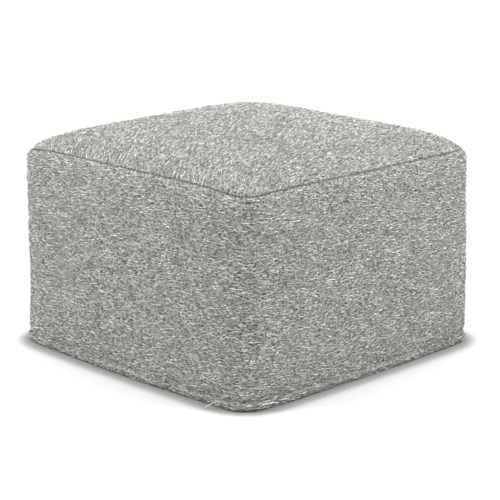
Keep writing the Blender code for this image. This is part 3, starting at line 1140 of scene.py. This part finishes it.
class POUF_OT_loose_yarn(bpy.types.Operator):
    """Lay the frayed ends of yarn at the foot of the near corner"""

    bl_idname = "pouf.loose_yarn"
    bl_label = "Loose yarn"

    def execute(self, context):
        curve = bpy.data.curves.new("loose_yarn", "CURVE")
        curve.dimensions = "3D"
        curve.bevel_depth = 1.0
        curve.bevel_resolution = 1
        curve.resolution_u = 3
        curve.use_fill_caps = True
        for thickness, points in LOOSE_YARN:
            spline = curve.splines.new("NURBS")
            spline.points.add(len(points) - 1)
            spline.order_u = 3
            spline.use_endpoint_u = True
            for point, place in zip(spline.points, points):
                point.co = (*place, 1.0)
                point.radius = thickness / 2
        drawn = new_object("loose_yarn_line", curve)
        mesh = evaluated_mesh(drawn)
        bpy.data.objects.remove(drawn)
        bm = opened(mesh)
        bmesh.ops.remove_doubles(bm, verts=bm.verts, dist=WELD / 10)
        bmesh.ops.recalc_face_normals(bm, faces=bm.faces)
        written(bm, mesh)
        store(mesh, "yarn_tone", "POINT", np.full(len(mesh.vertices), LOOSE_TONE))
        mesh.materials.clear()
        mesh.materials.append(boucle_yarn(context.scene.pouf_yarn))
        keep_off_floor(mesh, YARN_FLOOR_GAP)
        add_piece("loose_yarn", mesh)
        return {"FINISHED"}


# --- The studio ------------------------------------------------------------------------------
VIEW_PITCH = math.radians(14.8)        # how far the camera looks down
VIEW_DISTANCE = 2.6297                 # from the camera to the point that it looks at
VIEW_SIDE, VIEW_HEIGHT = 0.0052, 0.1377    # of that point, to the right and up
LENS = 127.1                           # in millimetres, on a 36 mm sensor
FLOOR_RADIUS = 14.0                    # far past the edges of the picture
OVERHEAD_SPREAD = math.radians(60)     # how wide the light overhead is
OVERHEAD_UP = 3.0                      # where it hangs, which only tells its direction
SIDE_LIGHT_TURN = math.radians(65)     # of the two side lights, from the camera's own direction
SIDE_LIGHT_AWAY, SIDE_LIGHT_UP = 1.05, 1.0     # from the middle of the pouf, and above the floor
SIDE_LIGHT_SIZE = 0.35                 # across
CONTACT_REACH = 0.035                  # how far from the pouf the floor is darker, by its painted contact shadow
CONTACT_STOPS = (0.70, 0.92)           # how open the floor is where its painted contact shadow is darkest, and where it is plain


class PoufStudio(bpy.types.PropertyGroup):
    """The floor and the lights."""

    floor: StringProperty(name="Floor", description="Colour of the floor", default="#d4d4d4")
    # Painted shadow: the darker colour of the floor right at the pouf is its contact shadow.
    painted_contact_shadow: StringProperty(
        name="Contact", description="Colour of the floor right at the pouf", default="#8e8e8e")
    sky: FloatProperty(name="Sky", description="Strength of the white surroundings", default=1.34)
    overhead: FloatProperty(
        name="Overhead light", description="Strength of the wide light overhead", default=0.7)
    sides: FloatProperty(
        name="Side lights", description="Power of each of the two lights beside the camera, in watts",
        default=8.0)


def add_light(scene, name, kind, settings, place):
    """A soft light at a place, turned towards the foot of the pouf."""
    light = bpy.data.lights.new(name, kind)
    for setting, value in settings.items():
        setattr(light, setting, value)
    lamp = bpy.data.objects.new(name, light)
    lamp.location = place
    lamp.rotation_mode = "QUATERNION"
    lamp.rotation_quaternion = (-place).to_track_quat("-Z", "Y")
    scene.collection.objects.link(lamp)


def floor_paint_and_contact_shadow(studio):
    """Plain matt paint with a painted contact shadow: it goes dark right beside what stands on it, as in
    the photo.
    """
    material, tree, shader = new_material("matt_painted_floor")
    # Painted shadow: the floor's colour darkens where ambient occlusion finds it shut in, near the pouf.
    shut = add_node(tree, "ShaderNodeAmbientOcclusion", {"samples": 8}, {"Distance": CONTACT_REACH})
    tone = add_node(tree, "ShaderNodeValToRGB", inputs={"Fac": shut.outputs["AO"]})
    set_stops(tone, CONTACT_STOPS, (studio.painted_contact_shadow, studio.floor))
    feed(tree, shader, {"Base Color": tone, "Roughness": 0.9, "Specular IOR Level": 0.1})
    return material


class POUF_OT_stage(bpy.types.Operator):
    """Set up the pale floor, the soft lights and the camera"""

    bl_idname = "pouf.stage"
    bl_label = "Studio"

    def execute(self, context):
        scene, studio = context.scene, context.scene.pouf_studio
        bm = bmesh.new()
        bmesh.ops.create_circle(bm, cap_ends=True, radius=FLOOR_RADIUS, segments=96)
        mesh = written(bm, bpy.data.meshes.new("studio_floor"))
        mesh.materials.append(floor_paint_and_contact_shadow(studio))
        new_object("studio_floor", mesh)

        world = bpy.data.worlds.new("studio_surroundings")
        world.use_nodes = True
        sky = world.node_tree.nodes["Background"]
        sky.inputs["Color"].default_value = (1.0, 1.0, 1.0, 1.0)
        sky.inputs["Strength"].default_value = studio.sky
        scene.world = world

        right = Vector((math.cos(VIEW_AZIMUTH), math.sin(VIEW_AZIMUTH), 0.0))
        ahead = Vector((-math.sin(VIEW_AZIMUTH), math.cos(VIEW_AZIMUTH), 0.0))
        add_light(scene, "overhead_light", "SUN", {
            "energy": studio.overhead, "angle": OVERHEAD_SPREAD}, Vector((0.0, 0.0, OVERHEAD_UP)))
        # One from either side, so that the near corner between them isn't the brightest part, and
        # near enough for the sides to be darker towards the floor.
        for name, side in (("left_light", -1), ("right_light", 1)):
            level = right * side * math.sin(SIDE_LIGHT_TURN) - ahead * math.cos(SIDE_LIGHT_TURN)
            add_light(scene, name, "AREA", {
                "energy": studio.sides, "shape": "DISK", "size": SIDE_LIGHT_SIZE,
            }, level * SIDE_LIGHT_AWAY + Vector((0.0, 0.0, SIDE_LIGHT_UP)))

        way = ahead * math.cos(VIEW_PITCH) - Vector((0.0, 0.0, math.sin(VIEW_PITCH)))
        camera = bpy.data.objects.new("camera", bpy.data.cameras.new("camera"))
        camera.data.lens = LENS
        camera.location = right * VIEW_SIDE + Vector((0.0, 0.0, VIEW_HEIGHT)) - way * VIEW_DISTANCE
        camera.rotation_mode = "QUATERNION"
        camera.rotation_quaternion = way.to_track_quat("-Z", "Y")
        scene.collection.objects.link(camera)
        scene.camera = camera
        scene.view_settings.view_transform = "Standard"
        return {"FINISHED"}


OPERATORS = (POUF_OT_form_cover, POUF_OT_top_cloth, POUF_OT_band_cloth, POUF_OT_base_cloth,
             POUF_OT_loops, POUF_OT_stitches, POUF_OT_loose_yarn, POUF_OT_stage)


class POUF_PT_panel(bpy.types.Panel):
    """The pouf's steps, in order"""

    bl_label = "Boucle pouf"
    bl_idname = "POUF_PT_panel"
    bl_space_type = "VIEW_3D"
    bl_region_type = "UI"
    bl_category = "Pouf"

    def draw(self, context):
        for settings in (context.scene.pouf_cover, context.scene.pouf_yarn, context.scene.pouf_studio):
            box = self.layout.box()
            for name in settings.__annotations__:
                box.prop(settings, name)
        for step in OPERATORS:
            self.layout.operator(step.bl_idname)


CLASSES = (PoufCover, PoufYarn, PoufStudio) + OPERATORS + (POUF_PT_panel,)


def register():
    for made in CLASSES:
        bpy.utils.register_class(made)
    bpy.types.Scene.pouf_cover = PointerProperty(type=PoufCover)
    bpy.types.Scene.pouf_yarn = PointerProperty(type=PoufYarn)
    bpy.types.Scene.pouf_studio = PointerProperty(type=PoufStudio)


def unregister():
    for name in ("pouf_cover", "pouf_yarn", "pouf_studio"):
        delattr(bpy.types.Scene, name)
    for made in reversed(CLASSES):
        bpy.utils.unregister_class(made)


def main():
    register()
    bpy.ops.pouf.form_cover()
    bpy.ops.pouf.top_cloth()
    bpy.ops.pouf.band_cloth()
    bpy.ops.pouf.base_cloth()
    bpy.ops.pouf.loops()
    bpy.ops.pouf.stitches()
    bpy.ops.pouf.loose_yarn()
    bpy.ops.pouf.stage()


if __name__ == "__main__":
    main()
